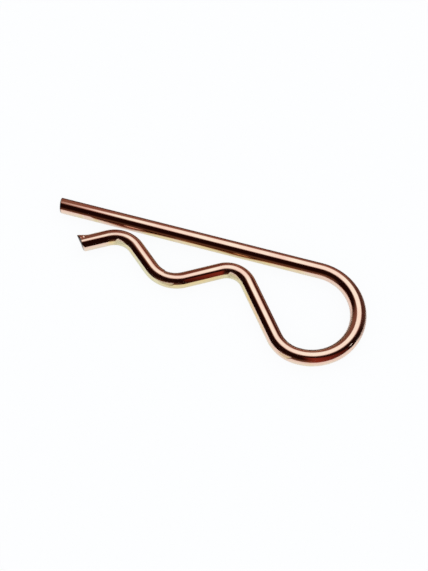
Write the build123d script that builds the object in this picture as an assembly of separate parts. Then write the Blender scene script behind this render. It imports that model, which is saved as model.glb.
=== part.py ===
from build123d import *
import os
from math import cos, radians, sin

# Hitch R clip, bent cold from one length of round spring wire.
# The straight leg goes through the cross hole of a hitch pin. The loop is the spring and the
# finger pull. The waved leg snaps round the outside of the pin, which lies in its valley.
# Lengths are in millimetres and angles in degrees. The clip lies flat: its thickness is along Z,
# the straight leg along X with its free end towards -X, and the waved leg on the -Y side.
# The origin is in the middle of the clip's plan, on the surface that it lies on.

# Wire
WIRE_DIAMETER = 4.0

# Straight leg, from the middle of its free end to the start of the loop
LEG_LENGTH = 69.1

# Loop, and the tighter bend that closes it and points the wire back at the straight leg
LOOP_INNER_RADIUS = 9.85
LOOP_TURN = 184.0
CLOSING_INNER_RADIUS = 6.4

# Waved leg, from the loop to its tip: a hump, the valley that holds the pin, and another hump.
# A gap is the clear width between the two legs at the top or bottom of a bend. A slope is the
# angle between the straight leg and the straight run that leads to a bend.
RAMP_SLOPE = 51.3
ROOT_HUMP_GAP = 2.1
ROOT_HUMP_INNER_RADIUS = 3.8

ROOT_FLANK_SLOPE = 30.9
VALLEY_GAP = 8.8
VALLEY_INNER_RADIUS = 5.8

TIP_FLANK_SLOPE = 39.9
TIP_HUMP_GAP = 0.85
TIP_HUMP_INNER_RADIUS = 4.8

# Tail, the straight end that flares away from the straight leg and leads the clip onto the pin
TAIL_SLOPE = 31.0
TAIL_LENGTH = 6.8

# Cropped ends: the shear leaves one side longer, and the plating rounds the edge
CROP_SLANT = 10.0
CROP_EDGE_RADIUS = 0.25

# Shallow hollows that the bending pins press into the inside of the tight bends
MARK_DEPTH = 0.2
MARK_PIN_SHARE = 0.5

wire_radius = WIRE_DIAMETER / 2
crop_overrun = WIRE_DIAMETER

# Headings along the wire, anticlockwise from +X seen from above
LEG_HEADING = 0.0
BACK_HEADING = LEG_HEADING - 180.0
QUARTER_TURN = 90.0
LEFT = 1
RIGHT = -1


def along(heading):
    """Unit vector along a heading."""
    return Vector(cos(radians(heading)), sin(radians(heading)))


def left_of(heading):
    """Unit vector to the left of a heading."""
    return along(heading + QUARTER_TURN)


class Bend:
    """A former that the wire turns round, to its left or its right, from one heading to another."""

    def __init__(self, centre, inner_radius, side, start, end):
        self.centre = centre
        self.inner_radius = inner_radius
        self.radius = inner_radius + wire_radius
        self.side = side
        self.start = start
        self.end = end

    def outwards(self, heading):
        """Unit vector from the former's centre to the wire where it has this heading."""
        return left_of(heading) * -self.side

    def touch(self, heading):
        """Point of the wire's centre line where it has this heading."""
        return self.centre + self.outwards(heading) * self.radius

    def arc(self):
        """Centre line of the wire round this former."""
        start_angle = self.start - self.side * QUARTER_TURN
        return CenterArc(self.centre, self.radius, start_angle, self.end - self.start)


def tighter_bend(before, inner_radius, end):
    """Bend that takes over from the one before it with a smaller radius, and turns the same way."""
    inset = before.inner_radius - inner_radius
    centre = before.centre + before.outwards(before.end) * inset
    return Bend(centre, inner_radius, before.side, before.end, end)


def wave_bend(before, gap, inner_radius, side, end):
    """Bend at the end of a straight run from the one before it. The run is as long as it takes
    for the top or bottom of this bend to leave the gap to the straight leg."""
    heading = before.end
    root = before.touch(heading)
    to_centre = left_of(heading) * side * (inner_radius + wire_radius)
    centre_y = -(WIRE_DIAMETER + gap) - side * (inner_radius + wire_radius)
    run = (centre_y - root.Y - to_centre.Y) / along(heading).Y
    return Bend(root + along(heading) * run + to_centre, inner_radius, side, heading, end)


def cropped_end(root, heading, length):
    """Straight stretch of wire from its root, cropped on a slant and rounded at its edge."""
    rod = extrude(Plane(root, z_dir=along(heading)) * Circle(wire_radius), length + crop_overrun)
    shear = Plane(root + along(heading) * length, z_dir=along(heading + CROP_SLANT))
    rod = split(rod, bisect_by=shear, keep=Keep.BOTTOM)
    cut_face = rod.faces().sort_by(Axis(root, along(heading)))[-1]
    return fillet(cut_face.edges(), CROP_EDGE_RADIUS)


def bending_pin(bend):
    """Pin that presses a shallow hollow into the inside of a bend, half way round it."""
    outwards = bend.outwards((bend.start + bend.end) / 2)
    pin_radius = MARK_PIN_SHARE * bend.inner_radius
    place = bend.centre + outwards * (bend.inner_radius + MARK_DEPTH - pin_radius)
    return Pos(place) * Cylinder(pin_radius, WIRE_DIAMETER)


# Bends in the order that the wire meets them, with the straight leg ending at the origin
loop_centre = left_of(LEG_HEADING) * -(LOOP_INNER_RADIUS + wire_radius)
loop = Bend(loop_centre, LOOP_INNER_RADIUS, RIGHT, LEG_HEADING, LEG_HEADING - LOOP_TURN)
closing = tighter_bend(loop, CLOSING_INNER_RADIUS, BACK_HEADING - RAMP_SLOPE)
root_hump = wave_bend(
    closing, ROOT_HUMP_GAP, ROOT_HUMP_INNER_RADIUS, LEFT, BACK_HEADING + ROOT_FLANK_SLOPE
)
valley = wave_bend(
    root_hump, VALLEY_GAP, VALLEY_INNER_RADIUS, RIGHT, BACK_HEADING - TIP_FLANK_SLOPE
)
tip_hump = wave_bend(
    valley, TIP_HUMP_GAP, TIP_HUMP_INNER_RADIUS, LEFT, BACK_HEADING + TAIL_SLOPE
)

# Bent stretch, from the end of the straight leg to the start of the tail
wave = [closing, root_hump, valley, tip_hump]
arcs = [bend.arc() for bend in [loop] + wave]
runs = [Line(a.touch(a.end), b.touch(b.start)) for a, b in zip(wave, wave[1:])]
bent_line = Wire(arcs + runs, sequenced=True)
wire_end = Plane(loop.touch(loop.start), z_dir=along(loop.start)) * Circle(wire_radius)
bent = sweep(wire_end, bent_line)

# Whole clip, with a hollow inside each tight bend
leg = cropped_end(loop.touch(loop.start), BACK_HEADING, LEG_LENGTH)
tail = cropped_end(tip_hump.touch(tip_hump.end), tip_hump.end, TAIL_LENGTH)
clip = leg + bent + tail
for bend in wave:
    clip -= bending_pin(bend)

# Lie the clip on the surface, centred on the origin
box = clip.bounding_box()
clip = Pos(-box.center().X, -box.center().Y, -box.min.Z) * clip

os.makedirs("parts", exist_ok=True)
export_step(clip, "parts/r_clip.step")
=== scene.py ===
from math import cos, pi, radians, sin

import bpy
import numpy as np
from bpy.props import FloatProperty, FloatVectorProperty, IntProperty, PointerProperty
from mathutils import Matrix, Vector


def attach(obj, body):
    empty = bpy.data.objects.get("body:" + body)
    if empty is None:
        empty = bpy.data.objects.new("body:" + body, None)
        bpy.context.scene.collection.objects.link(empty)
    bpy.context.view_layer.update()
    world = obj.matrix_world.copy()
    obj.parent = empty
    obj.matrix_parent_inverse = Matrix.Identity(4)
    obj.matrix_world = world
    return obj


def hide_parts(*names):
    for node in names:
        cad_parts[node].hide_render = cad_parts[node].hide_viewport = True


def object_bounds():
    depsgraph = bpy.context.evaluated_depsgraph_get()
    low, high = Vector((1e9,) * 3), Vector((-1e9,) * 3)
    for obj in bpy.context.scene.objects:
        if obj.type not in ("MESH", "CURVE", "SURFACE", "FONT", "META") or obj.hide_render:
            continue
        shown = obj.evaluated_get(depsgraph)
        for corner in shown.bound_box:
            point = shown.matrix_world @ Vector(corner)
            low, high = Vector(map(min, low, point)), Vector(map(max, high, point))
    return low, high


bl_info = {
    "name": "Hitch R Clip",
    "version": (1, 0, 0),
    "blender": (4, 5, 0),
    "location": "3D View > Sidebar > R Clip",
    "description": "A hitch R clip bent from plated spring wire, on a plain pale floor",
    "category": "Object",
}

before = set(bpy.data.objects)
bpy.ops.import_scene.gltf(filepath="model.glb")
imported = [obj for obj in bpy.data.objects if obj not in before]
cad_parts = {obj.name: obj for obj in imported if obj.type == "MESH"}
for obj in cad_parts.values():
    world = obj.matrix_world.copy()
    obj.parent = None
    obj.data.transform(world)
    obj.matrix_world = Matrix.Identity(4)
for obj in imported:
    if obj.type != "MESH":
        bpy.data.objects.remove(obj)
cad_low, cad_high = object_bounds()

MM = 0.001
BODY = "root"
NODE = "r_clip"

# Headings along the wire, in degrees anticlockwise from +X seen from above
LEG_HEADING = 0.0
BACK_HEADING = -180.0

# The plated wire's fine mesh stays inside the box of the coarser CAD mesh by these
CLEARANCE = 0.004 * MM
END_TRIM = 0.03 * MM

# Rows of the wire's mesh, which lie closer together at marks, dents and the tail's end
COARSE_STEP = 0.4 * MM
FINE_STEP = 0.08 * MM
FINE_REACH = 1.0 * MM  # distance over which the fine step goes back to the coarse one
STEP_SAMPLES = 20000  # points along the wire at which the step is worked out
FACE_ROWS = 12  # across the flat of a sheared end
EDGE_ROWS = 8  # round the edge of a sheared end

# Sheared ends
SLANT_REACH = 1.5  # wire diameters over which the end's slant dies out
CORNER_POWER = 2.5  # how late the tail's worn corner turns back
CORNER_PLATE = 0.5  # share of the radius to the left where the tail's end starts to hold plate
CORNER_PLATE_REACH = 0.4  # share of the radius over which that plate becomes whole
LIP_ANGLE = radians(150.0)  # middle of the tail's lip, from the left of the wire over its top
LIP_HALF_WIDTH = radians(50.0)
LIP_POWER = 1.3  # how late the lip rises along the tail

# Tool marks
MARK_STEP = 0.12 * MM  # length of the step at a mark's abrupt end
MARK_SLANT = 0.7  # how far a mark's end leans back along the wire, per height up the mark
MARK_FILM = 0.55  # thickness of the passivate film that a scuffed mark holds
SCUFF_DEPTH = 0.05 * MM  # a mark this deep is scuffed all over

# Passivate film. Flanks are heights off the middle of the wire, in wire radii, where a flank's film
# starts and where it is whole, and stops are the thicknesses of its two middle colours. Patches
# are two levels of the noise that makes them, and what they give at the one and the other.
FILM_BETWEEN = 0.5  # share of the film on sides that faced neither up nor down as it dried
# The copper on the right of the wire is partly the film's reddest kind and partly painted shade
# that darkens what the waved leg's far flanks mirror
COPPER_SHADE_START = 0.12  # share of the radius to the right where the copper film starts
COPPER_SHADE_REACH = 0.3  # share of the radius over which it becomes whole
UPPER_FLANK = (0.70, 0.52)
UPPER_STOPS = (0.30, 0.55)
LOWER_FLANK = (0.45, 0.18)
LOWER_STOPS = (0.25, 0.55)
CREAM_PATCHES = (0.35, 0.65, 0.0, 1.0)
FILM_PATCHES = (0.3, 0.7, -0.2, 0.2)

# Fine texture. Real die lines are finer than a pixel, so they are drawn coarser to show.
DIE_LINE_LENGTH = 30 * MM
DIE_LINE_PITCH = 0.25 * MM
DIE_LINE_DEPTH = 0.01 * MM
DIE_LINE_STRENGTH = 0.02
GRAIN_SIZE = 0.2 * MM
GRAIN_DEPTH = 0.04 * MM
GRAIN_STRENGTH = 0.9

# Stage
WHITE = (1.0, 1.0, 1.0)
FLOOR_GLOW = 0.94  # share of the floor's white that is its own and not light that falls on it
RIB_GLOW = 0.65  # the same of the ribbed card
# The near ribs' cloth carries painted shade: a darker colour for the clip's shade on the floor
# between the legs
RIB_FAR = 0.5  # place of the far ribs' colour between the card's white and its shaded ribs
SOFTBOX_CORE = 0.6  # share of the softbox that is evenly bright
CARD_EDGE = 0.08  # share of the red card's width over which it comes up
CARD_FAR = 0.2  # share of its brightness that is left at its far end
CARD_FALL = 8  # how soon it falls to that
CAMERA_CLIP = 10 * MM

# Marks that the bending tools shave off the wire, in order: the stretch, the shares of the way
# along it where the mark starts and ends, which of the two is the abrupt and deepest one, the
# side of the bend, how far the flat is turned up from the horizontal in degrees, and its depth
# in millimetres.
TOOL_MARKS = (
    ("closing", 0.14, 0.75, "start", "outer", 29.0, 0.12),
    ("closing", 0.25, 0.52, "end", "inner", 30.0, 0.16),
    ("root_hump", 0.15, 0.76, "end", "inner", 25.0, 0.30),
    ("valley", -0.10, 0.61, "end", "inner", 50.0, 0.20),
    ("valley", 0.00, 0.61, "end", "inner", 28.0, 0.25),
    ("valley", 0.30, 0.75, "start", "outer", 30.0, 0.12),
    ("tip_hump", 0.25, 0.72, "end", "inner", 24.0, 0.30),
)

# Small dents, in order: the stretch, the share of the way along it, the angle from the left of the
# wire over its top in degrees, and the half length along the wire, half width and depth in
# millimetres.
DENTS = (
    ("loop", 0.643, 50.0, 1.80, 0.36, 0.095),
    ("tail", 0.82, 114.0, 0.50, 0.50, 0.22),
)

# Thickness of the passivate film at places along the wire, in order: the stretch, the share of the
# way along it, and the thickness from 0, which is pink, to 1, which is pale green. The clip hung
# with -Y downwards as the film dried, so this is the thickness on that side.
FILM = (
    ("leg", 0.00, 0.10),
    ("leg", 0.06, 0.22),
    ("leg", 0.09, 0.60),
    ("leg", 0.11, 0.18),
    ("leg", 0.15, 0.55),
    ("leg", 0.18, 0.05),
    ("leg", 0.28, 0.05),
    ("leg", 0.36, 0.50),
    ("leg", 0.85, 0.55),
    ("loop", 0.20, 0.08),
    ("loop", 0.60, 0.05),
    ("loop", 0.90, 0.25),
    ("closing", 0.50, 0.20),
    ("ramp", 0.50, 0.28),
    ("root_hump", 0.20, 0.80),
    ("root_hump", 0.80, 0.85),
    ("root_flank", 0.50, 0.65),
    ("valley", 0.50, 0.85),
    ("tip_flank", 0.50, 0.90),
    ("tip_hump", 0.60, 0.90),
    ("tail", 0.20, 0.25),
    ("tail", 1.00, 0.20),
)

# How far the right of the wire is copper, at places along it: partly the film's reddest kind,
# and partly painted shade that darkens what the far flanks of the waved leg mirror
COPPER_AND_SHADE = (
    ("closing", 0.20, 0.0),
    ("closing", 0.90, 1.0),
    ("valley", 0.50, 0.8),
    ("tip_flank", 0.50, 1.0),
    ("tail", 0.10, 0.5),
    ("tail", 0.60, 0.0),
)

# Sides of the studio that glow dimly, in order: the setting that holds the colour, the azimuth of
# the side's middle from +X, the angles from it where the glow has died out and where it is whole,
# and the height where it has died out, or None where it reaches all the way up. All in degrees.
STUDIO_SIDES = (
    ("surround_colour", 118.0, 62.0, 36.0, None),
    ("corner_colour", 70.0, 55.0, 30.0, None),
    ("front_colour", -97.0, 38.0, 14.0, 36.0),
)


def linear(hex_colour):
    """Linear red, green and blue of an sRGB colour written as #RRGGBB."""
    parts = np.array([int(hex_colour[i : i + 2], 16) for i in (1, 3, 5)]) / 255
    low, high = parts / 12.92, ((parts + 0.055) / 1.055) ** 2.4
    return tuple(float(x) for x in np.where(parts <= 0.04045, low, high))


def fade(share):
    """Smooth step from 0 to 1: three times the share's square less twice its cube."""
    share = np.clip(share, 0.0, 1.0)
    return share**2 * (3 - 2 * share)


def bell(distance):
    """Smooth bump: the square of one less the distance squared, and nothing past 1."""
    return np.clip(1 - distance**2, 0.0, None) ** 2


def angle_apart(angles, middle):
    """Signed angle from a middle round to each angle, by the shorter way."""
    return (angles - middle + pi) % (2 * pi) - pi


def length_prop(name, millimetres, description):
    """A length, given in millimetres and kept in metres."""
    return FloatProperty(
        name=name,
        description=description,
        default=millimetres * MM,
        min=0.0,
        unit="LENGTH",
        precision=5,
    )


def angle_prop(name, degrees, description):
    """An angle, given in degrees and kept in radians."""
    return FloatProperty(
        name=name, description=description, default=radians(degrees), subtype="ANGLE"
    )


def colour_prop(name, hex_colour, description):
    """A colour, given as sRGB hex and kept as linear."""
    return FloatVectorProperty(
        name=name,
        description=description,
        default=linear(hex_colour),
        size=3,
        min=0.0,
        max=1.0,
        subtype="COLOR",
    )


def share_prop(name, default, description, most=1.0):
    """A plain number from zero up."""
    return FloatProperty(name=name, description=description, default=default, min=0.0, max=most)


class RClipWire(bpy.types.PropertyGroup):
    """Sizes of the bent wire, as in the CAD part"""

    wire_diameter: FloatProperty(
        name="Wire diameter",
        description="Thickness of the round spring wire, which is the height of the CAD box",
        default=cad_high.z - cad_low.z,
        unit="LENGTH",
        precision=5,
    )
    leg_length: length_prop("Leg length", 69.1, "Straight leg, from its free end to the loop")
    loop_radius: length_prop("Loop radius", 9.85, "Inside radius of the loop")
    loop_turn: angle_prop("Loop turn", 184.0, "Angle that the loop turns through")
    closing_radius: length_prop(
        "Closing radius", 6.4, "Inside radius of the bend that closes the loop"
    )
    ramp_slope: angle_prop("Ramp slope", 51.3, "Slope of the run from the loop to the root hump")
    root_hump_gap: length_prop(
        "Root hump gap", 2.1, "Clear width between the legs at the root hump"
    )
    root_hump_radius: length_prop("Root hump radius", 3.8, "Inside radius of the root hump")
    root_flank_slope: angle_prop(
        "Root flank slope", 30.9, "Slope of the run from the root hump to the valley"
    )
    valley_gap: length_prop("Valley gap", 8.8, "Clear width between the legs at the valley")
    valley_radius: length_prop("Valley radius", 5.8, "Inside radius of the valley")
    tip_flank_slope: angle_prop(
        "Tip flank slope", 39.9, "Slope of the run from the valley to the tip hump"
    )
    tip_hump_gap: length_prop("Tip hump gap", 0.85, "Clear width between the legs at the tip hump")
    tip_hump_radius: length_prop("Tip hump radius", 4.8, "Inside radius of the tip hump")
    tail_slope: angle_prop(
        "Tail slope", 31.0, "Slope at which the tail flares away from the straight leg"
    )
    tail_length: length_prop("Tail length", 6.8, "Straight end of the waved leg")
    crop_slant: angle_prop("Crop slant", 10.0, "Slant of the leg's sheared end")
    crop_edge_radius: length_prop("Crop edge radius", 0.25, "Rounding of the sheared edges")
    leg_bulge: length_prop(
        "Leg bulge", 0.12, "How far the middle of the leg's sheared end stands out"
    )
    tail_bulge: length_prop(
        "Tail bulge", 0.10, "How far the middle of the tail's sheared end stands out"
    )
    tail_corner: length_prop(
        "Tail corner", 0.60, "How far the near side of the tail's end is worn back"
    )
    lip_height: length_prop(
        "Lip height", 0.6, "How far the lip that the shear pulled up stands out at the tail's end"
    )
    lip_reach: length_prop("Lip reach", 0.65, "How far that lip stands out past the tail's end")
    lip_length: length_prop("Lip length", 2.3, "How far that lip runs back along the tail")
    columns: IntProperty(name="Columns", description="Faces round the wire", default=96, min=12)


class RClipFinish(bpy.types.PropertyGroup):
    """Colours and gloss of the plated finish"""

    rose: colour_prop("Rose", "#EBC9B7", "Thin passivate film, on the top of the wire")
    cream: colour_prop("Cream", "#EFDBC6", "Slightly thicker film, in patches on the top")
    blush: colour_prop("Blush", "#EED0BE", "Thinnest film on the flanks")
    ivory: colour_prop("Ivory", "#EEDFC9", "Thin film on the flanks")
    straw: colour_prop("Straw", "#E6D6A8", "Thicker film on the flanks")
    green: colour_prop("Pale green", "#E0DCBA", "Thickest film on the flanks")
    gold: colour_prop("Gold", "#E7C98E", "Thicker film high on the flanks")
    # Copper: partly film colour, partly painted shade on the far flanks of the waved leg
    copper_and_shade: colour_prop("Copper", "#C8937F", "Reddest film, on the far side of the waved leg")
    steel: colour_prop("Sheared steel", "#463C37", "Steel that the shear laid bare")
    gloss_roughness: share_prop("Gloss roughness", 0.10, "Roughness of the bright drawn wire")
    bend_roughness: share_prop("Bend roughness", 0.06, "Roughness that the tightest bend adds")
    mark_roughness: share_prop("Mark roughness", 0.22, "Roughness that a forming mark adds")
    patch_length: length_prop("Patch length", 6.0, "Length of a patch of one film colour")


class RClipStage(bpy.types.PropertyGroup):
    """Floor, light and camera"""

    floor_colour: colour_prop("Floor", "#FDFEFF", "Pale floor, and white paper of the ribbed card")
    softbox_colour: colour_prop("Softbox", "#FFFFFF", "Colour of the overhead softbox")
    softbox_rim_colour: colour_prop(
        "Softbox rim", "#D06A4A", "Colour of the softbox's light as it fades at the rim"
    )
    softbox_radiance: share_prop(
        "Softbox radiance", 1.15, "Brightness of the softbox as the metal mirrors it", 10.0
    )
    surround_colour: colour_prop(
        "Surround", "#7A5144", "Dim warm side of the studio, behind and to the left"
    )
    corner_colour: colour_prop(
        "Corner", "#4C2C25", "Darker side of the studio, behind and to the right"
    )
    rib_colour: colour_prop("Rib", "#5A382E", "Brown cloth on the fronts of the ribbed card")
    # Painted shade: a darker cloth colour on the ribs in front of the straight leg, for the clip's
    # shade on the floor there
    painted_shade_rib_colour: colour_prop(
        "Rib in shade", "#3A1E16", "The same cloth in front of the straight leg, which is darker"
    )
    front_colour: colour_prop("Front glow", "#7E5340", "Dim warm glow low in front of the clip")
    card_colour: colour_prop(
        "Red card", "#A54030", "Dim red card that stands in front and to the right"
    )
    dark_colour: colour_prop("Dark", "#1C0603", "Rest of the studio, which is nearly black")
    azimuth: angle_prop("Camera azimuth", 15.9, "Direction of the camera, from -Y towards +X")
    elevation: angle_prop("Camera elevation", 65.0, "Height of the camera above the floor")
    distance: length_prop(
        "Camera distance", 220.48, "Distance from the camera to the point that it looks at"
    )
    target: FloatVectorProperty(
        name="Camera target",
        description="Point in the middle of the picture",
        default=(3.127 * MM, 0.615 * MM, 2.0 * MM),
        size=3,
        subtype="TRANSLATION",
        precision=5,
    )
    lens: FloatProperty(
        name="Lens", description="Focal length, in millimetres", default=55.86, unit="CAMERA"
    )


def bend_table(sizes):
    """The wire's stretches in order, as name, length and signed curvature. A bend's length is its
    mean radius times its turn, and the run before a hump or the valley is as long as it takes for
    the bend's top or bottom to leave its gap to the straight leg: the height still to climb,
    less the bend's own rise of radius times one minus the cosine of the slope, over the sine of
    the run's heading."""
    radius = sizes.wire_diameter / 2
    heading, back = radians(LEG_HEADING), radians(BACK_HEADING)
    table = [("leg", sizes.leg_length, 0.0)]
    height = 0.0

    def bend(name, inner_radius, turn):
        nonlocal heading, height
        mean = inner_radius + radius
        side = np.sign(turn)
        height += side * mean * (cos(heading) - cos(heading + turn))
        heading += turn
        table.append((name, mean * abs(turn), side / mean))

    def run(name, gap, inner_radius, side):
        nonlocal height
        rise = side * (inner_radius + radius) * (1 - cos(heading - back))
        length = (-(sizes.wire_diameter + gap) - rise - height) / sin(heading)
        height += length * sin(heading)
        table.append((name, length, 0.0))

    bend("loop", sizes.loop_radius, -sizes.loop_turn)
    bend("closing", sizes.closing_radius, back - sizes.ramp_slope - heading)
    run("ramp", sizes.root_hump_gap, sizes.root_hump_radius, 1)
    bend("root_hump", sizes.root_hump_radius, back + sizes.root_flank_slope - heading)
    run("root_flank", sizes.valley_gap, sizes.valley_radius, -1)
    bend("valley", sizes.valley_radius, back - sizes.tip_flank_slope - heading)
    run("tip_flank", sizes.tip_hump_gap, sizes.tip_hump_radius, 1)
    bend("tip_hump", sizes.tip_hump_radius, back + sizes.tail_slope - heading)
    table.append(("tail", sizes.tail_length, 0.0))
    return table


class WireLine:
    """Centre line of the wire: a chain of stretches of constant curvature, laid flat."""

    def __init__(self, table, start, height):
        self.names = [row[0] for row in table]
        self.lengths = np.array([row[1] for row in table])
        self.curvatures = np.array([row[2] for row in table])
        self.starts = np.concatenate([[0.0], np.cumsum(self.lengths)])
        turns = self.lengths * self.curvatures
        self.headings = radians(LEG_HEADING) + np.concatenate([[0.0], np.cumsum(turns)[:-1]])
        steps = self.step(self.lengths, self.curvatures, self.headings)
        self.roots = start + np.concatenate([[[0.0, 0.0]], np.cumsum(steps, axis=0)[:-1]])
        self.height = height
        self.length = self.starts[-1]

    @staticmethod
    def step(length, curvature, heading):
        """Chord of an arc: its length times the sinc of half its turn, along its middle heading."""
        half_turn = length * curvature / 2
        chord = length * np.sinc(half_turn / pi)
        middle = heading + half_turn
        return np.stack([chord * np.cos(middle), chord * np.sin(middle)], axis=-1)

    def at(self, stations):
        """Points, headings and curvatures at distances along the wire, which goes straight on past
        its ends: the root of the stretch that a distance falls in, plus the chord from there."""
        k = np.searchsorted(self.starts, stations, side="right") - 1
        k = np.clip(k, 0, len(self.lengths) - 1)
        along = stations - self.starts[k]
        flat = self.roots[k] + self.step(along, self.curvatures[k], self.headings[k])
        points = np.concatenate([flat, np.full(flat.shape[:-1] + (1,), self.height)], axis=-1)
        return points, self.headings[k] + along * self.curvatures[k], self.curvatures[k]

    def frames(self, stations):
        """Points, forward, left and up directions, and curvatures at distances along the wire. With
        the heading's cosine and sine, forward is cosine, sine and left is minus sine, cosine."""
        points, headings, curvatures = self.at(stations)
        zero = np.zeros_like(headings)
        forward = np.stack([np.cos(headings), np.sin(headings), zero], axis=-1)
        left = np.stack([-np.sin(headings), np.cos(headings), zero], axis=-1)
        return points, forward, left, np.array([0.0, 0.0, 1.0]), curvatures

    def station(self, name, share):
        """Distance along the wire of a point that is a share of the way along a stretch."""
        k = self.names.index(name)
        return self.starts[k] + share * self.lengths[k]

    def blend(self, places, stations):
        """Value at distances along the wire, going evenly from place to place in a table."""
        known = [self.station(*row[:2]) for row in places]
        return np.interp(stations, known, [row[2] for row in places])


def spaced_stations(line, centres):
    """Stations along the wire, a coarse step apart, and a fine step apart near the given centres.
    The number of rows per metre is a bell curve round each centre on top of the coarse rate, and
    the stations are where its running sum reaches whole numbers."""
    dense = np.linspace(0.0, line.length, STEP_SAMPLES)
    apart = (dense[:, None] - np.array(centres)[None, :]) / FINE_REACH
    near = np.exp(-(apart**2)).max(axis=1)
    rate = 1 / COARSE_STEP + (1 / FINE_STEP - 1 / COARSE_STEP) * near
    rows = np.concatenate([[0.0], np.cumsum((rate[1:] + rate[:-1]) / 2 * np.diff(dense))])
    return np.interp(np.linspace(0.0, rows[-1], int(rows[-1]) + 1), rows, dense)


def end_profile(wire_radius, edge_radius):
    """Radius and inset of the rows of a sheared end, from its middle out to the wire: even steps
    across the flat, then a quarter circle round the edge."""
    flat = np.linspace(0.0, wire_radius - edge_radius, FACE_ROWS)
    turn = np.linspace(0.0, pi / 2, EDGE_ROWS)[1:-1]
    radius = np.concatenate([flat, wire_radius - edge_radius * (1 - np.sin(turn))])
    inset = np.concatenate([np.zeros(len(flat)), edge_radius * (1 - np.cos(turn))])
    return radius, inset


def wire_surface(line, sizes, stations):
    """Swept round wire with sheared ends, as rows along the wire by columns round it. A point is
    the centre line's point, plus the row's radius times the cosine of the column's angle to the
    left and its sine upwards. The flat of an end stands out in the middle by a parabola, and the
    rows near it also slide back along the wire: at the leg's end by the slant's tangent times the
    distance to the left, and at the tail's, whose corner is worn, by a power of that distance.
    Columns start at the underside. Returns the points, the rows' distances along the wire, the
    columns' angles, and the values that the finish reads."""
    wire_radius = sizes.wire_diameter / 2 - CLEARANCE
    edge = sizes.crop_edge_radius
    cap_radius, cap_inset = end_profile(wire_radius, edge)
    cap_inset = cap_inset + END_TRIM
    first, last = edge + END_TRIM, line.length - edge - END_TRIM
    inner = stations[(stations > first) & (stations < last)]
    inner = np.concatenate([[first], inner, [last]])
    rows = np.concatenate([cap_inset, inner, line.length - cap_inset[::-1]])
    radii = np.concatenate([cap_radius, np.full(len(inner), wire_radius), cap_radius[::-1]])
    angles = np.linspace(0.0, 2 * pi, sizes.columns, endpoint=False) - pi / 2
    points, forward, left, up, curvatures = line.frames(rows)
    leftwards = radii[:, None] * np.cos(angles)
    upwards = radii[:, None] * np.sin(angles)
    left_share = leftwards / wire_radius

    # Slant of the leg's end, worn corner of the tail's, and the bulge of both
    from_end = np.minimum(rows, line.length - rows)
    hold = np.clip(1 - (from_end - first) / (SLANT_REACH * sizes.wire_diameter), 0.0, 1.0)
    on_leg = rows < line.length / 2
    slant = np.where(on_leg, np.tan(sizes.crop_slant), 0.0)[:, None] * leftwards
    corner = np.where(on_leg, 0.0, sizes.tail_corner)[:, None]
    corner = corner * np.clip(left_share, 0.0, 1.0) ** CORNER_POWER
    bulge = np.clip(1 - (radii / (wire_radius - edge)) ** 2, 0.0, 1.0)
    bulge *= np.where(on_leg, -sizes.leg_bulge, sizes.tail_bulge)
    slide = -(slant + corner) * hold[:, None] + bulge[:, None]
    surface = (
        points[:, None, :]
        + leftwards[..., None] * left[:, None, :]
        + upwards[..., None] * up
        + slide[..., None] * forward[:, None, :]
    )

    # Steel is bare on the whole of the leg's end, and on the tail's apart from its worn corner
    plated = fade((left_share - CORNER_PLATE) / CORNER_PLATE_REACH)
    bare = np.where(on_leg[:, None], 1.0, 1 - plated)
    to_right, downwards = -np.cos(angles), -np.cos(angles) * left[:, 1:2]
    values = {
        "strain": np.abs(curvatures)[:, None] * wire_radius * np.ones(sizes.columns),
        "cut": (from_end < first)[:, None] * bare,
        # Copper on the right of the wire: film colour and painted shade
        "copper_and_shade": line.blend(COPPER_AND_SHADE, rows)[:, None]
        * fade((to_right - COPPER_SHADE_START) / COPPER_SHADE_REACH),
        "film": line.blend(FILM, rows)[:, None] * np.clip(FILM_BETWEEN + downwards, 0.0, 1.0),
    }
    return surface, rows, angles, values


def shave(surface, rows, line, mark, wire_radius):
    """Shaves a flat off the wire. Its depth grows evenly from one end of the mark to the other,
    where it stops within a short step that leans back along the wire. A point that stands out
    further along the flat's facing than the wire's radius less the depth moves straight back to
    that distance. Returns how far each point moved."""
    stretch, start, end, abrupt, side, lift, depth = mark
    start, end, lift = line.station(stretch, start), line.station(stretch, end), radians(lift)
    points, _, left, up, _ = line.frames(rows)
    turn = np.sign(line.curvatures[line.names.index(stretch)]) * (1 if side == "inner" else -1)
    facing = left * turn * cos(lift) + up * sin(lift)
    up_flat = up * cos(lift) - left * turn * sin(lift)
    off_axis = surface - points[:, None, :]
    along = rows[:, None] + MARK_SLANT * np.einsum("ijk,ik->ij", off_axis, up_flat)
    if abrupt == "end":
        deep = np.interp(along, [start, end, end + MARK_STEP], [0.0, depth * MM, 0.0])
    else:
        deep = np.interp(along, [start - MARK_STEP, start, end], [0.0, depth * MM, 0.0])
    stands_out = np.einsum("ijk,ik->ij", off_axis, facing)
    push = np.clip(stands_out - (wire_radius - deep), 0.0, None) * (deep > 0)
    surface -= push[..., None] * facing[:, None, :]
    return push


def press_dent(surface, rows, angles, line, dent, wire_radius):
    """Presses a long or round dent. A point moves towards the wire's axis by a bell of its distance
    from the dent's middle, counted in half lengths along the wire and half widths round it."""
    stretch, share, angle, half_length, half_width, depth = dent
    lengthwise = (rows - line.station(stretch, share)) / (half_length * MM)
    crosswise = wire_radius * angle_apart(angles, radians(angle)) / (half_width * MM)
    push = depth * MM * bell(np.hypot(lengthwise[:, None], crosswise))
    inwards = line.at(rows)[0][:, None, :] - surface
    distance = np.maximum(np.linalg.norm(inwards, axis=-1), CLEARANCE)
    surface += push[..., None] * inwards / distance[..., None]


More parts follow.
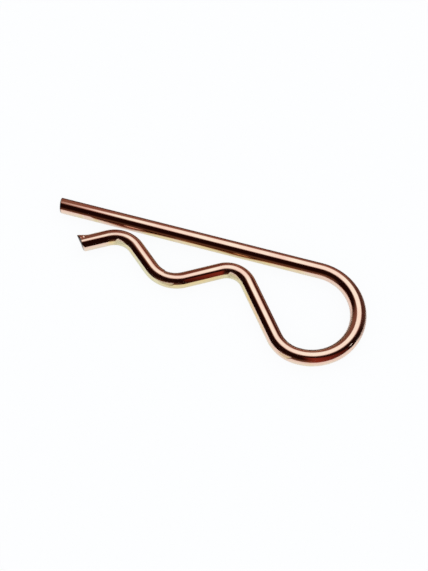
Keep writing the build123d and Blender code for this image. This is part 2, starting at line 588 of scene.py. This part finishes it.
def pull_lip(surface, rows, angles, line, sizes):
    """Lip that the shear pulled up on one side of the tail's end. A point moves outwards, and on
    past the end, by a bell of its angle from the lip's middle, times a power of the way from the
    lip's root to the end, times its distance from the wire's axis."""
    way = np.clip(1 - (line.length - rows) / sizes.lip_length, 0.0, 1.0) ** LIP_POWER
    apart = np.abs(angle_apart(angles, LIP_ANGLE)) / LIP_HALF_WIDTH
    points, forward = line.frames(rows)[:2]
    off_axis = surface - points[:, None, :]
    off_axis -= np.einsum("ijk,ik->ij", off_axis, forward)[..., None] * forward[:, None, :]
    reach = off_axis / (sizes.wire_diameter / 2)
    far = np.linalg.norm(reach, axis=-1)[..., None]
    share = (way[:, None] * bell(apart))[..., None]
    surface += share * sizes.lip_height * reach
    surface += share * sizes.lip_reach * far * forward[:, None, :]


def grid_mesh(name, surface, poles=(False, False), closed=True, wire_map=None, values=None):
    """Mesh of a grid of points, with a face between each two rows and columns. Poles says whether
    its first row, and whether its last row, is one point, and closed whether its last column joins
    its first."""
    rows, columns = surface.shape[:2]
    strips = columns if closed else columns - 1
    i, j = np.meshgrid(np.arange(rows - 1), np.arange(strips), indexing="ij")
    at_row = np.stack([i, i, i + 1, i + 1], axis=-1).reshape(-1, 4)
    at_column = np.stack([j, j + 1, j + 1, j], axis=-1).reshape(-1, 4)
    quads = at_row * columns + at_column % columns
    keep = np.ones(quads.shape, bool)
    for pole, row, corners in ((poles[0], 0, (0, 1)), (poles[1], rows - 1, (2, 3))):
        if pole:
            touching = at_row[:, corners[0]] == row
            quads[np.ix_(touching, corners)] = row * columns
            keep[touching, corners[0]] = False
    totals = keep.sum(axis=1)
    starts = np.concatenate([[0], np.cumsum(totals)[:-1]])
    used, loops = np.unique(quads[keep], return_inverse=True)
    mesh = bpy.data.meshes.new(name)
    mesh.vertices.add(len(used))
    mesh.vertices.foreach_set("co", surface.reshape(-1, 3)[used].astype(np.float32).ravel())
    mesh.loops.add(len(loops))
    mesh.loops.foreach_set("vertex_index", loops.astype(np.int32))
    mesh.polygons.add(len(totals))
    mesh.polygons.foreach_set("loop_start", starts.astype(np.int32))
    mesh.polygons.foreach_set("use_smooth", np.ones(len(totals), bool))
    mesh.update(calc_edges=True)
    if wire_map is not None:
        layer = mesh.uv_layers.new(name="wire_map")
        along, across = wire_map
        flat = np.stack([along[at_row[keep]], across[at_column[keep]]], axis=-1)
        layer.uv.foreach_set("vector", flat.astype(np.float32).ravel())
    for title, value in (values or {}).items():
        attribute = mesh.attributes.new(title, "FLOAT", "POINT")
        attribute.data.foreach_set("value", value.ravel()[used].astype(np.float32))
    if mesh.validate(verbose=False):
        raise RuntimeError(f"the mesh of {name} isn't sound")
    return mesh


def grid_piece(name, surface, material, **shape):
    """Object at the origin that shows the mesh of a grid of points in one material."""
    mesh = grid_mesh(name, surface, **shape)
    mesh.materials.append(material)
    piece = bpy.data.objects.new(name, mesh)
    bpy.context.scene.collection.objects.link(piece)
    return piece


def add_node(tree, kind, settings=None, **inputs):
    """Adds a node, sets its settings, and sets or links its inputs by name. An input named iN is
    the node's input number N, and a colour is given as red, green and blue."""
    node = tree.nodes.new(kind)
    for name, value in (settings or {}).items():
        setattr(node, name, value)
    for name, value in inputs.items():
        key = int(name[1:]) if name[0] == "i" and name[1:].isdigit() else name.replace("_", " ")
        socket = node.inputs[key]
        if isinstance(value, bpy.types.NodeSocket):
            tree.links.new(value, socket)
        else:
            socket.default_value = (*value, 1.0) if socket.type == "RGBA" else value
    return node


def new_material(name):
    """Empty node material and its tree."""
    material = bpy.data.materials.new(name)
    material.use_nodes = True
    material.node_tree.nodes.clear()
    return material, material.node_tree


def passivated_zinc(sizes, finish):
    """Zinc plate under a yellow chromate passivate, on bright drawn spring wire. The plate is a
    mirror, and the thin film over it takes out blue and some green, so it looks rose to cream on
    the top of the wire, and pink, straw or pale green on its flanks, where the film runs thicker.
    The far side of the waved leg is copper, which is partly the film's own colour and partly
    painted shade that darkens what those flanks mirror. The film differs from stretch to stretch
    and pools in patches a few millimetres long. Bends are a little duller, forming marks are
    scuffed, and the sheared ends are dark bare steel."""
    material, tree = new_material("yellow_passivated_zinc")
    place_of = add_node(tree, "ShaderNodeTexCoord").outputs["Object"]
    wire_map = add_node(tree, "ShaderNodeUVMap", {"uv_map": "wire_map"}).outputs["UV"]
    strain, mark, cut, film, copper_and_shade = (
        add_node(tree, "ShaderNodeAttribute", {"attribute_name": name}).outputs["Fac"]
        for name in ("strain", "mark", "cut", "film", "copper_and_shade")
    )

    # Flanks: 0 on the top and underside of the wire, 1 on its sides
    up = add_node(tree, "ShaderNodeSeparateXYZ", i0=place_of).outputs["Z"]
    height = add_node(
        tree, "ShaderNodeMapRange", Value=up, From_Max=sizes.wire_diameter, To_Min=-1.0
    ).outputs[0]
    off_middle = add_node(tree, "ShaderNodeMath", {"operation": "ABSOLUTE"}, i0=height).outputs[0]
    upper_flank, lower_flank = (
        add_node(
            tree, "ShaderNodeMapRange", {"interpolation_type": "SMOOTHSTEP"},
            Value=off_middle, From_Min=none, From_Max=whole,
        ).outputs[0]
        for none, whole in (UPPER_FLANK, LOWER_FLANK)
    )

    # Patches, which turn rose to cream, and thin or thicken the film
    patches = add_node(
        tree, "ShaderNodeTexNoise", Vector=place_of, Scale=1 / finish.patch_length
    ).outputs["Fac"]
    cream, more_film = (
        add_node(
            tree, "ShaderNodeMapRange",
            Value=patches, From_Min=low, From_Max=high, To_Min=least, To_Max=most,
        ).outputs[0]
        for low, high, least, most in (CREAM_PATCHES, FILM_PATCHES)
    )
    film = add_node(
        tree, "ShaderNodeMath", {"operation": "ADD", "use_clamp": True}, i0=film, i1=more_film
    ).outputs[0]

    # Colours, one over another: rose, cream patches, the two flanks, copper with painted shade, and
    # bare steel
    layers = [(cream, finish.cream)]
    for flank, stops_at, thin, middle, thick in (
        (upper_flank, UPPER_STOPS, finish.rose, finish.rose, finish.gold),
        (lower_flank, LOWER_STOPS, finish.blush, finish.ivory, finish.straw),
    ):
        ramp = add_node(tree, "ShaderNodeValToRGB", i0=film)
        stops = ramp.color_ramp.elements
        stops[0].color = (*thin, 1.0)
        stops[1].color = (*finish.green, 1.0)
        for stop, shade in zip(stops_at, (middle, thick)):
            stops.new(stop).color = (*shade, 1.0)
        layers.append((flank, ramp.outputs["Color"]))
    layers += [(copper_and_shade, finish.copper_and_shade), (cut, finish.steel)]
    colour = finish.rose
    for share, over in layers:
        colour = add_node(
            tree, "ShaderNodeMix", {"data_type": "RGBA"}, i0=share, i6=colour, i7=over
        ).outputs[2]

    # Roughness: bright drawn wire, duller in the bends, scuffed in the marks and at the ends
    radius = sizes.wire_diameter / 2
    bend_rough = add_node(
        tree, "ShaderNodeMapRange",
        Value=strain, From_Max=radius / (sizes.root_hump_radius + radius),
        To_Min=finish.gloss_roughness, To_Max=finish.gloss_roughness + finish.bend_roughness,
    ).outputs[0]
    scuffed = add_node(tree, "ShaderNodeMath", {"operation": "MAXIMUM"}, i0=mark, i1=cut).outputs[0]
    rough = add_node(
        tree, "ShaderNodeMath", {"operation": "MULTIPLY_ADD"},
        i0=scuffed, i1=finish.mark_roughness, i2=bend_rough,
    ).outputs[0]

    # Die lines along the wire, and the grain of what is scuffed
    lines_scale = (1 / DIE_LINE_LENGTH, 1 / DIE_LINE_PITCH, 1.0)
    stretched = add_node(tree, "ShaderNodeMapping", Vector=wire_map, Scale=lines_scale).outputs[0]
    die_lines = add_node(tree, "ShaderNodeTexNoise", Vector=stretched, Scale=1.0).outputs["Fac"]
    grain = add_node(tree, "ShaderNodeTexNoise", Vector=place_of, Scale=1 / GRAIN_SIZE)
    scuffs = add_node(
        tree, "ShaderNodeMath", {"operation": "MULTIPLY"}, i0=grain.outputs["Fac"], i1=scuffed
    ).outputs[0]
    fine = add_node(
        tree, "ShaderNodeBump",
        Strength=DIE_LINE_STRENGTH, Distance=DIE_LINE_DEPTH, Height=die_lines,
    )
    coarse = add_node(
        tree, "ShaderNodeBump",
        Strength=GRAIN_STRENGTH, Distance=GRAIN_DEPTH, Height=scuffs, Normal=fine.outputs[0],
    )
    shader = add_node(
        tree, "ShaderNodeBsdfPrincipled",
        Base_Color=colour, Metallic=1.0, Roughness=rough, Normal=coarse.outputs[0],
    )
    add_node(tree, "ShaderNodeOutputMaterial", Surface=shader.outputs[0])
    return material


class RCLIP_OT_bend_wire(bpy.types.Operator):
    """Bends the wire, shears its ends, presses its forming marks and plates it"""

    bl_idname = "rclip.bend_wire"
    bl_label = "Bend the wire"

    def execute(self, context):
        sizes, finish = context.scene.rclip_wire, context.scene.rclip_finish
        radius = sizes.wire_diameter / 2
        loop_outer = sizes.loop_radius + sizes.wire_diameter
        start = np.array([cad_high.x - loop_outer - sizes.leg_length, cad_high.y - radius])
        line = WireLine(bend_table(sizes), start, cad_low.z + radius)
        centres = [line.station(mark[0], share) for mark in TOOL_MARKS for share in mark[1:3]]
        centres += [line.station(*dent[:2]) for dent in DENTS] + [line.length]
        stations = spaced_stations(line, centres)
        surface, rows, angles, values = wire_surface(line, sizes, stations)
        moved = [shave(surface, rows, line, mark, radius) for mark in TOOL_MARKS]
        values["mark"] = np.clip(np.max(moved, axis=0) / SCUFF_DEPTH, 0.0, 1.0)
        values["film"] = np.maximum(values["film"], MARK_FILM * values["mark"])
        for dent in DENTS:
            press_dent(surface, rows, angles, line, dent, radius)
        pull_lip(surface, rows, angles, line, sizes)
        across = np.linspace(0.0, 2 * pi, sizes.columns + 1) * radius
        piece = grid_piece(
            "bent_wire",
            surface,
            passivated_zinc(sizes, finish),
            poles=(True, True),
            wire_map=(rows, across),
            values=values,
        )
        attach(piece, BODY)
        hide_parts(NODE)
        return {"FINISHED"}


def disc_surface(radius, rows, columns):
    """Flat round floor: a point is its distance from the middle times the cosine and the sine of
    its direction."""
    out = np.linspace(0.0, radius, rows)[:, None]
    turn = np.linspace(0.0, 2 * pi, columns, endpoint=False)
    x, y = out * np.cos(turn), out * np.sin(turn)
    return np.stack([x, y, np.zeros_like(x)], axis=-1)


def ball_surface(radius, rows, columns):
    """Ball: a point is as high as the radius times the cosine of its polar angle, and as far out,
    in its direction, as the radius times the sine."""
    polar = np.linspace(pi, 0.0, rows)[:, None]
    turn = np.linspace(0.0, 2 * pi, columns, endpoint=False)
    ring, height = radius * np.sin(polar), radius * np.cos(polar)
    x, y = ring * np.cos(turn), ring * np.sin(turn)
    return np.stack(np.broadcast_arrays(x, y, height), axis=-1)


def ribbed_surface(half_length, front, back, pitch, rise, painted_shade_back):
    """Card of ribs along X, which lies where the floor is: each rib rises straight up on its front
    and slopes down to the next one on its back. Returns its points and their cloth, which is 0 on
    the backs, and on the fronts 1, with painted shade, as far back as that shade goes, and less
    behind it."""
    foot = np.arange(front, back, pitch)[:, None]
    x = np.array([[-half_length, half_length]])
    y = (foot + np.array([0.0, 0.0, 0.0, pitch])).reshape(-1, 1)
    z = np.tile([0.0, rise, rise, 0.0], len(foot))[:, None]
    on_front = np.tile([1.0, 1.0, 0.0, 0.0], len(foot))[:, None]
    # Painted shade: fronts nearer than painted_shade_back take the darker cloth colour
    cloth = on_front * np.where(y < painted_shade_back, 1.0, RIB_FAR) * np.ones_like(x)
    return np.stack(np.broadcast_arrays(x, y, z), axis=-1), cloth


def card_surface(left, right, distance, height, rows, columns):
    """Card that stands on the floor in front of the clip, by height and distance to the right,
    which goes up as a square so that columns lie closer at its left edge. Returns its points and
    its brightness, which comes up over its left end, soon falls by a power of the way that is left
    to its right end, and fades to nothing over its upper half."""
    up = np.linspace(0.0, 1.0, rows)[:, None]
    across = np.linspace(0.0, 1.0, columns)[None, :] ** 2
    x = left + (right - left) * across
    points = np.stack(np.broadcast_arrays(x, np.full_like(x, -distance), height * up), axis=-1)
    fall = CARD_FAR + (1 - CARD_FAR) * (1 - across) ** CARD_FALL
    return points, fade(across / CARD_EDGE) * fall * fade(2 * (1 - up))


def softbox_surface(centre, half_widths, height, rows, columns):
    """Level oval panel, by share of the way to its rim and direction, with its own half width to
    the left, right, front and back of its centre. Returns its points and its brightness, which
    falls smoothly from its evenly bright core to its rim."""
    left, right, front, back = half_widths
    share = np.linspace(0.0, 1.0, rows)[:, None]
    turn = np.linspace(0.0, 2 * pi, columns, endpoint=False)
    x = centre[0] + share * np.cos(turn) * np.where(np.cos(turn) < 0, left, right)
    y = centre[1] + share * np.sin(turn) * np.where(np.sin(turn) < 0, front, back)
    glow = np.broadcast_to(fade((1 - share) / (1 - SOFTBOX_CORE)), x.shape)
    return np.stack([x, y, np.full(x.shape, height)], axis=-1), glow


def pale_floor(stage):
    """Matt pale paper, lit to white: most of the white that camera, glossy and transmission rays
    see is its own, and the rest is light that falls on it, which keeps the clip's faint shadow."""
    material, tree = new_material("matt_pale_paper")
    path = add_node(tree, "ShaderNodeLightPath").outputs
    seen = path["Is Camera Ray"]
    for ray in ("Is Glossy Ray", "Is Transmission Ray"):
        seen = add_node(
            tree, "ShaderNodeMath", {"operation": "MAXIMUM"}, i0=seen, i1=path[ray]
        ).outputs[0]
    paper = add_node(tree, "ShaderNodeBsdfDiffuse", Color=stage.floor_colour).outputs[0]
    white = add_node(tree, "ShaderNodeEmission", Color=stage.floor_colour, Strength=1.0).outputs[0]
    shown = add_node(tree, "ShaderNodeMixShader", i0=FLOOR_GLOW, i1=paper, i2=white).outputs[0]
    both = add_node(tree, "ShaderNodeMixShader", i0=seen, i1=paper, i2=shown).outputs[0]
    add_node(tree, "ShaderNodeOutputMaterial", Surface=both)
    return material


def dark_flags(stage):
    """Dark cloth flags round the clip, which only its mirror finish sees: warm and dim behind it
    and to its left, darker behind it and to its right, with a low glow in front, and near black
    elsewhere. By direction on the floor, a side's light fades smoothly with the cosine of the
    angle from its middle. A low one also fades evenly with the sine of the height."""
    material, tree = new_material("dark_cloth_flags")
    place_of = add_node(tree, "ShaderNodeTexCoord").outputs["Object"]
    on_floor = add_node(
        tree, "ShaderNodeVectorMath", {"operation": "MULTIPLY"}, i0=place_of, i1=(1.0, 1.0, 0.0)
    ).outputs[0]
    heading, direction = (
        add_node(tree, "ShaderNodeVectorMath", {"operation": "NORMALIZE"}, i0=way).outputs[0]
        for way in (on_floor, place_of)
    )
    up = add_node(tree, "ShaderNodeSeparateXYZ", i0=direction).outputs["Z"]
    light = add_node(tree, "ShaderNodeEmission", Color=stage.dark_colour, Strength=1.0).outputs[0]
    for colour, azimuth, none, whole, top in STUDIO_SIDES:
        middle = (cos(radians(azimuth)), sin(radians(azimuth)), 0.0)
        cosine = add_node(
            tree, "ShaderNodeVectorMath", {"operation": "DOT_PRODUCT"}, i0=heading, i1=middle
        ).outputs["Value"]
        strength = add_node(
            tree, "ShaderNodeMapRange", {"interpolation_type": "SMOOTHSTEP"},
            Value=cosine, From_Min=cos(radians(none)), From_Max=cos(radians(whole)),
        ).outputs[0]
        if top is not None:
            low = add_node(
                tree, "ShaderNodeMapRange", Value=up, From_Min=sin(radians(top)), From_Max=0.0
            ).outputs[0]
            strength = add_node(
                tree, "ShaderNodeMath", {"operation": "MULTIPLY"}, i0=strength, i1=low
            ).outputs[0]
        side = add_node(
            tree, "ShaderNodeEmission", Color=getattr(stage, colour), Strength=strength
        ).outputs[0]
        light = add_node(tree, "ShaderNodeAddShader", i0=light, i1=side).outputs[0]
    add_node(tree, "ShaderNodeOutputMaterial", Surface=light)
    return material


def ribbed_card(stage):
    """Ribbed card, which only the clip's mirror finish sees in place of the floor: white paper on
    the backs of its ribs, so the near sides of the wire mirror white, and brown cloth on their
    fronts, so its far sides mirror a dim brown. In front of the straight leg the cloth has painted
    shade, a darker brown, so the waved leg mirrors it darker. Part of its light falls on it, so it
    is also darker where the clip shades it."""
    material, tree = new_material("ribbed_card")
    cloth = add_node(tree, "ShaderNodeAttribute", {"attribute_name": "cloth"}).outputs["Fac"]
    ramp = add_node(tree, "ShaderNodeValToRGB", i0=cloth)
    stops = ramp.color_ramp.elements
    stops[0].color = (*stage.floor_colour, 1.0)
    # Painted shade on the cloth of the near ribs
    stops[1].color = (*stage.painted_shade_rib_colour, 1.0)
    stops.new(RIB_FAR).color = (*stage.rib_colour, 1.0)
    colour = ramp.outputs["Color"]
    paper = add_node(tree, "ShaderNodeBsdfDiffuse", Color=colour).outputs[0]
    glow = add_node(tree, "ShaderNodeEmission", Color=colour, Strength=1.0).outputs[0]
    both = add_node(tree, "ShaderNodeMixShader", i0=RIB_GLOW, i1=paper, i2=glow).outputs[0]
    add_node(tree, "ShaderNodeOutputMaterial", Surface=both)
    return material


def red_card(stage):
    """Dim red card, which only the clip's mirror finish sees, and which fades out at its edges."""
    material, tree = new_material("red_card")
    glow = add_node(tree, "ShaderNodeAttribute", {"attribute_name": "glow"}).outputs["Fac"]
    clear = add_node(tree, "ShaderNodeBsdfTransparent").outputs[0]
    lit = add_node(tree, "ShaderNodeEmission", Color=stage.card_colour, Strength=glow).outputs[0]
    both = add_node(tree, "ShaderNodeAddShader", i0=clear, i1=lit).outputs[0]
    add_node(tree, "ShaderNodeOutputMaterial", Surface=both)
    return material


def softbox_cloth(stage):
    """White diffuser cloth of the softbox, brightest in the middle, and warmer as it fades to
    nothing at its rim."""
    material, tree = new_material("white_diffuser_cloth")
    glow = add_node(tree, "ShaderNodeAttribute", {"attribute_name": "glow"}).outputs["Fac"]
    colour = add_node(
        tree, "ShaderNodeMix", {"data_type": "RGBA"},
        i0=glow, i6=stage.softbox_rim_colour, i7=stage.softbox_colour,
    ).outputs[2]
    clear = add_node(tree, "ShaderNodeBsdfTransparent").outputs[0]
    lit = add_node(
        tree, "ShaderNodeEmission", Color=colour, Strength=stage.softbox_radiance
    ).outputs[0]
    both = add_node(tree, "ShaderNodeMixShader", i0=glow, i1=clear, i2=lit).outputs[0]
    add_node(tree, "ShaderNodeOutputMaterial", Surface=both)
    return material


def plain_world():
    """White world at a plain strength of 1, which lights the clip and shows behind it as white."""
    world = bpy.data.worlds.new("plain_studio")
    world.use_nodes = True
    tree = world.node_tree
    tree.nodes.clear()
    white = add_node(tree, "ShaderNodeBackground", Color=WHITE, Strength=1.0).outputs[0]
    add_node(tree, "ShaderNodeOutputWorld", Surface=white)
    return world


def photo_camera(stage):
    """Camera that looks at its target from a distance. It stands off by the azimuth's sine towards
    +X and its cosine towards -Y, both times the elevation's cosine, and up by the elevation's
    sine."""
    settings = bpy.data.cameras.new("camera")
    settings.lens = stage.lens
    settings.clip_start = CAMERA_CLIP
    camera = bpy.data.objects.new("camera", settings)
    bpy.context.scene.collection.objects.link(camera)
    back = Vector((
        sin(stage.azimuth) * cos(stage.elevation),
        -cos(stage.azimuth) * cos(stage.elevation),
        sin(stage.elevation),
    ))
    turned = back.to_track_quat("Z", "Y").to_matrix().to_4x4()
    camera.matrix_world = Matrix.Translation(Vector(stage.target) + back * stage.distance) @ turned
    return camera


class RCLIP_OT_set_stage(bpy.types.Operator):
    """Sets the floor, the flags and cards that the clip mirrors, the softbox and the camera"""

    bl_idname = "rclip.set_stage"
    bl_label = "Set the stage"

    def execute(self, context):
        scene, stage = context.scene, context.scene.rclip_stage
        floor = grid_piece(
            "pale_floor",
            disc_surface(radius=1.5, rows=12, columns=96),
            pale_floor(stage),
            poles=(True, False),
        )
        dome = grid_piece(
            "dark_flags",
            ball_surface(radius=2.5, rows=48, columns=96),
            dark_flags(stage),
            poles=(True, True),
        )
        # Ribs nearer than painted_shade_back carry painted shade for the clip's shade between the
        # legs
        points, cloth = ribbed_surface(
            half_length=0.6,
            front=-0.25,
            back=0.6,
            pitch=0.1 * MM,
            rise=0.052 * MM,
            painted_shade_back=12 * MM,
        )
        ribs = grid_piece(
            "ribbed_card", points, ribbed_card(stage), closed=False, values={"cloth": cloth}
        )
        points, glow = card_surface(
            left=0.033, right=0.4, distance=0.058, height=0.2, rows=24, columns=48
        )
        card = grid_piece("red_card", points, red_card(stage), closed=False, values={"glow": glow})
        points, glow = softbox_surface(
            centre=(-0.031, 0.204),
            half_widths=(0.163, 0.356, 0.235, 0.503),
            height=0.35,
            rows=48,
            columns=192,
        )
        panel = grid_piece(
            "softbox", points, softbox_cloth(stage), poles=(True, False), values={"glow": glow}
        )
        for only_mirrored in (dome, ribs, card):
            only_mirrored.visible_diffuse = False
            only_mirrored.visible_shadow = False
        for unseen in (dome, ribs, card, panel):
            unseen.visible_camera = False
            unseen.visible_transmission = False

        scene.world = plain_world()
        scene.camera = photo_camera(stage)
        scene.view_settings.view_transform = "Standard"
        return {"FINISHED"}


class RCLIP_PT_panel(bpy.types.Panel):
    """Steps that make the clip and its stage"""

    bl_label = "R Clip"
    bl_idname = "RCLIP_PT_panel"
    bl_space_type = "VIEW_3D"
    bl_region_type = "UI"
    bl_category = "R Clip"

    def draw(self, context):
        for step in STEPS:
            self.layout.operator(step.bl_idname)


STEPS = (RCLIP_OT_bend_wire, RCLIP_OT_set_stage)
CLASSES = (RClipWire, RClipFinish, RClipStage, *STEPS, RCLIP_PT_panel)
GROUPS = {"rclip_wire": RClipWire, "rclip_finish": RClipFinish, "rclip_stage": RClipStage}


def register():
    """Registers the classes and puts the settings on the scene."""
    for cls in CLASSES:
        bpy.utils.register_class(cls)
    for name, group in GROUPS.items():
        setattr(bpy.types.Scene, name, PointerProperty(type=group))


def unregister():
    """Takes the settings off the scene and unregisters the classes."""
    for name in GROUPS:
        delattr(bpy.types.Scene, name)
    for cls in reversed(CLASSES):
        bpy.utils.unregister_class(cls)


def main():
    register()
    bpy.ops.rclip.bend_wire()
    bpy.ops.rclip.set_stage()


if __name__ == "__main__":
    main()
